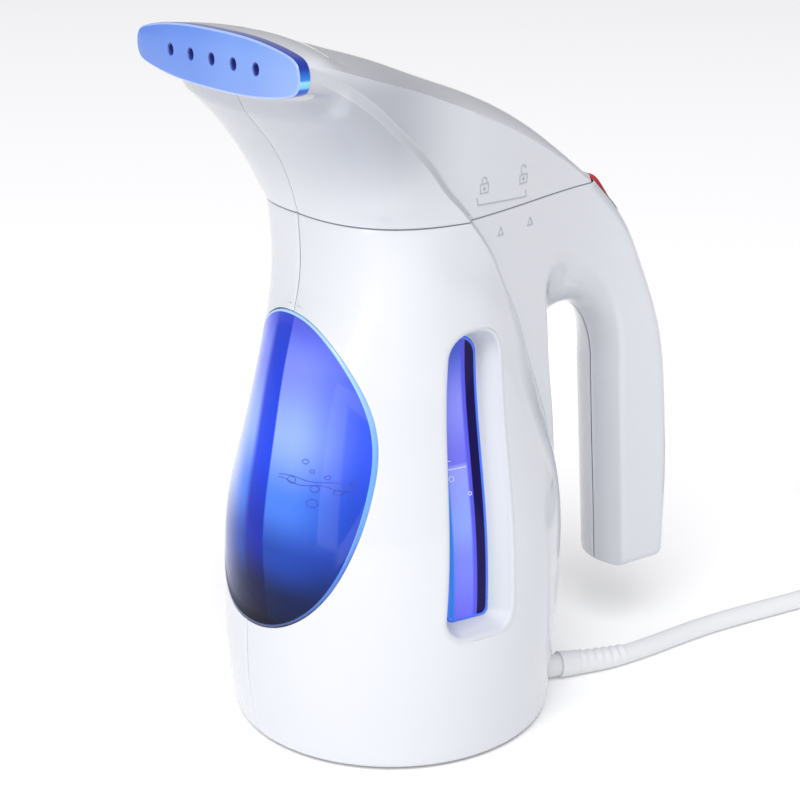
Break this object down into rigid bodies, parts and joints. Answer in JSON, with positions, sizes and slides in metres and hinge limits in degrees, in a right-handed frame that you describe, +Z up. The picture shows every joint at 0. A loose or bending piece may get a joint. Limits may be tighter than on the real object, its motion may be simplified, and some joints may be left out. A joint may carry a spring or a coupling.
{
  "type": "handheld garment steamer",
  "caption": "Handheld garment steamer: waisted white body, blue water windows, open-ended grip, twist-off head with a wide nozzle plate, rear rocker switch and mains lead.",
  "frame": {"origin": "on the table, below the middle of the steamer's box (lead, coil and plug not counted)", "axes": "+Z up the barrel; the nozzle points to -X and the grip is at +X; +Y is the side away from the viewer's left window"},
  "size_m": [0.478, 0.1222, 0.2503],
  "materials": {
    "white_shell": "polished white moulding",
    "white_inner": "plain white moulding",
    "blue_lens": "translucent blue, polished",
    "blue_tank": "translucent blue",
    "blue_nozzle": "translucent blue, satin face",
    "silicone": "matt",
    "black_rubber": "matt",
    "black_plastic": "satin",
    "red_rocker": "translucent red and black",
    "cast_aluminium": "cast",
    "steel": "plated",
    "ceramic": "matt",
    "white_cord": "satin white sheath",
    "brass": "plain"
  },
  "bodies": {
    "body": {"housing_left": "white_shell", "housing_right": "white_shell", "front_window": "blue_lens", "level_window_left": "blue_lens", "level_window_right": "blue_lens", "tank_collar": "blue_tank", "tank_base": "blue_tank", "tank_dome": "blue_tank", "plate_gasket": "silicone", "heating_plate": "cast_aluminium", "heating_element": "steel", "thermostat": "steel", "thermal_fuse": "ceramic", "heater_support": "black_plastic", "base_cover": "white_inner", "base_screw_1": "steel", "base_screw_2": "steel", "base_screw_3": "steel", "foot_1": "black_rubber", "foot_2": "black_rubber", "foot_3": "black_rubber", "grip_screw_lower": "steel", "grip_screw_upper": "steel", "switch_bezel": "black_plastic", "switch_body": "black_plastic", "strain_relief": "white_cord", "mains_lead": "white_cord", "lead_coil": "white_cord", "lead_tie": "black_plastic", "plug": "white_cord", "plug_blade_1": "brass", "plug_blade_2": "brass"},
    "seal_ring": {"tank_seal": "black_rubber"},
    "head": {"head_left": "white_shell", "head_right": "white_shell", "head_spigot": "white_inner", "steam_duct": "silicone", "nozzle_plate": "blue_nozzle", "nozzle_gasket": "silicone"},
    "rocker": {"switch_rocker": "red_rocker"}
  },
  "joints": [
    {"name": "head_twist", "type": "hinge", "parent": "body", "child": "seal_ring", "pos_m": [-0.0332, 0, 0.1882], "axis": [0, 0, 1], "range_deg": [0, 25]},
    {"name": "head_lift", "type": "slide", "parent": "seal_ring", "child": "head", "axis": [0, 0, 1], "range_m": [0, 0.06]},
    {"name": "switch_rocker_tilt", "type": "hinge", "parent": "body", "child": "rocker", "pos_m": [0.06243, 0, 0.17878], "axis": [0, -1, 0], "range_deg": [0, 12]}
  ]
}
